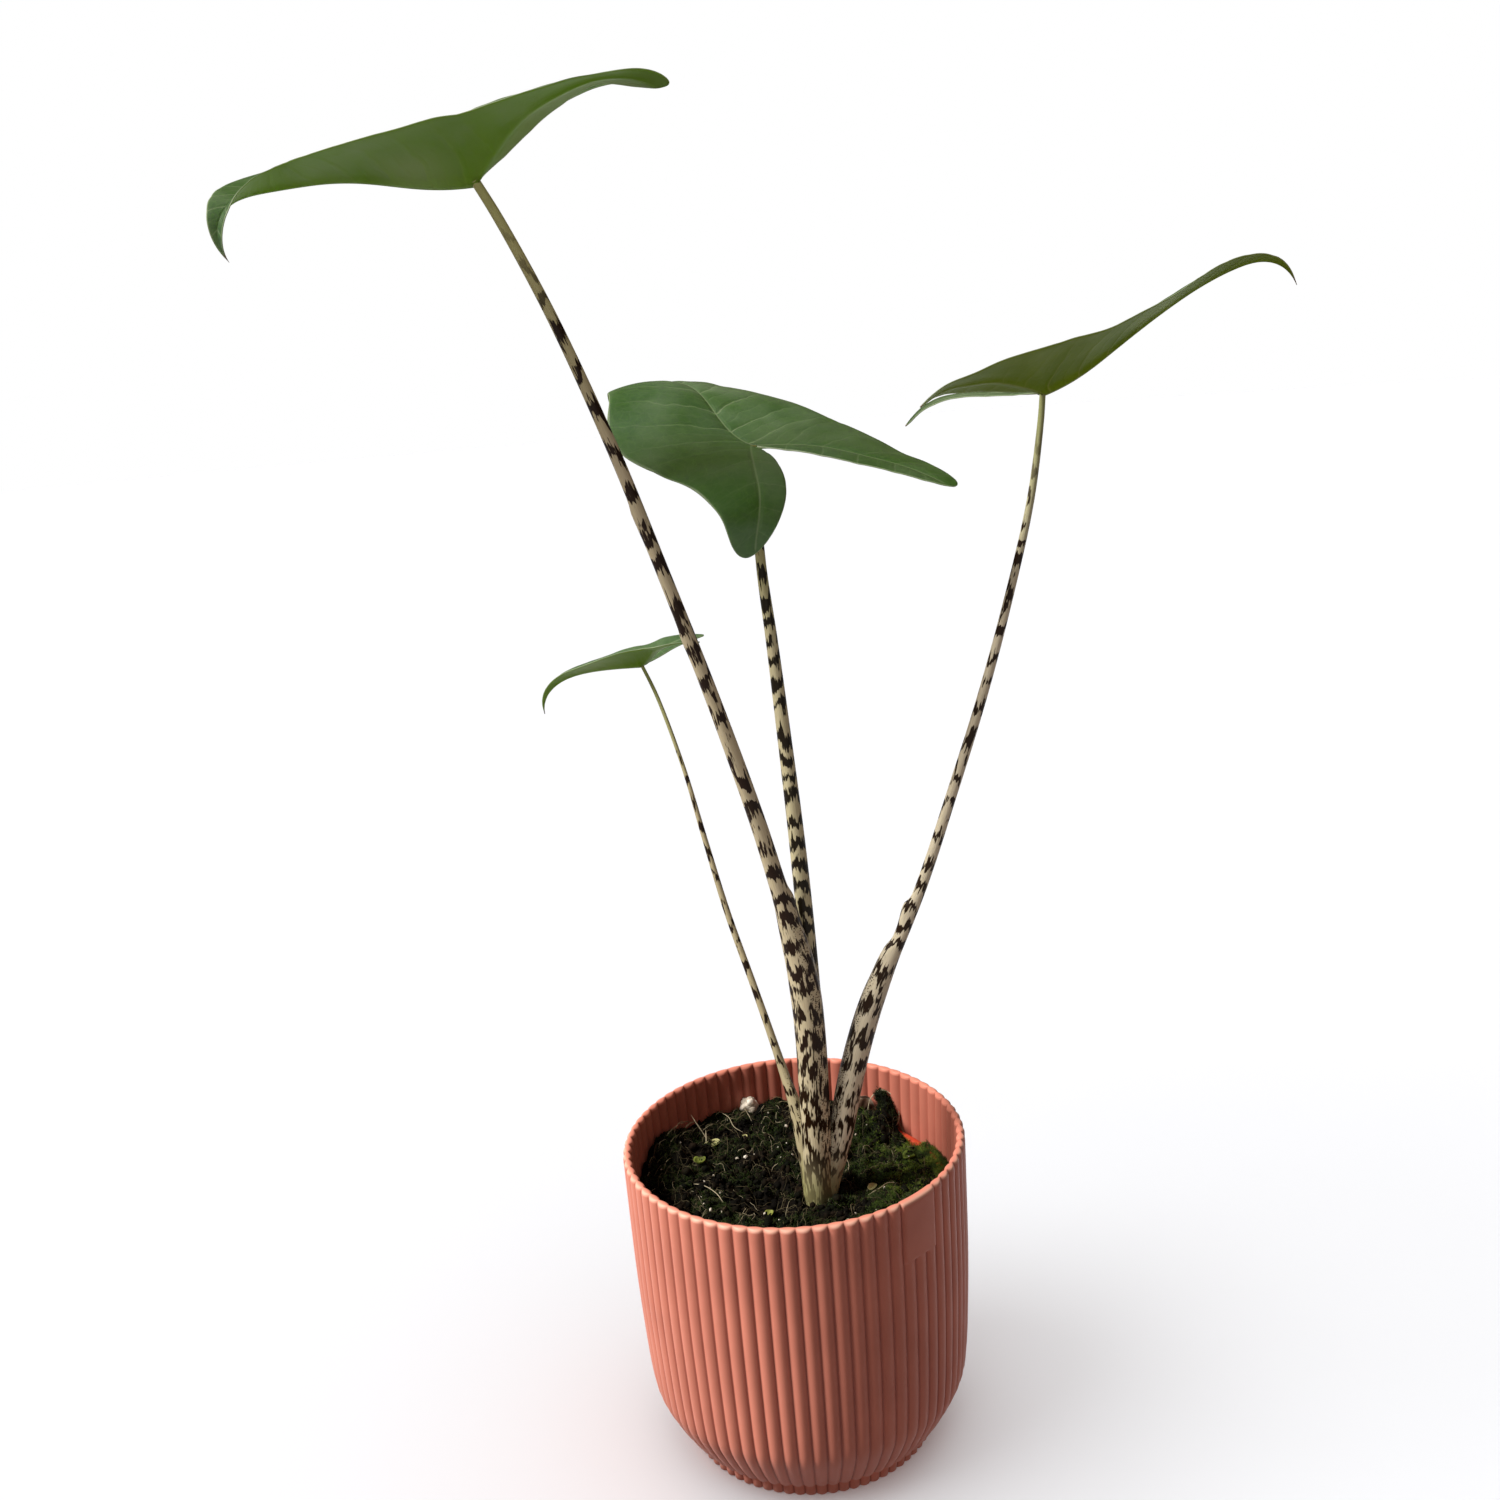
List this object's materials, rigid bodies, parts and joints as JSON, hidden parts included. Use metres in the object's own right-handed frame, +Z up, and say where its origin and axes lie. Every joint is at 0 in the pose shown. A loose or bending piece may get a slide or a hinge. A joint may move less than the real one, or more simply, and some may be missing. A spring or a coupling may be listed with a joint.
{
  "type": "potted alocasia zebrina",
  "caption": "Alocasia zebrina with arrow-shaped leaves on banded petioles, in a nursery pot inside a pink ribbed cover pot.",
  "frame": {"origin": "centre of the cover pot's base, on the face that it stands on", "axes": "+Z up along the axis of the pot, -Y towards the front, from where leaf A leans left, leaf C leans right (+X) and the bare panel of the pot is at the front right"},
  "size_m": [0.3679, 0.1661, 0.5321],
  "materials": {
    "pot_plastic": "matte",
    "nursery_plastic": "matte",
    "peat": "matte",
    "corm_skin": "matte",
    "petiole_skin": "satin",
    "leaf": "satin"
  },
  "bodies": {
    "root": {"cover_pot": "pot_plastic", "nursery_pot": "nursery_plastic", "soil": "peat", "corm": "corm_skin", "petiole_a": "petiole_skin", "petiole_b": "petiole_skin", "petiole_c": "petiole_skin", "petiole_d": "petiole_skin", "blade_a": "leaf", "blade_b": "leaf", "blade_c": "leaf", "blade_d": "leaf"}
  },
  "joints": []
}
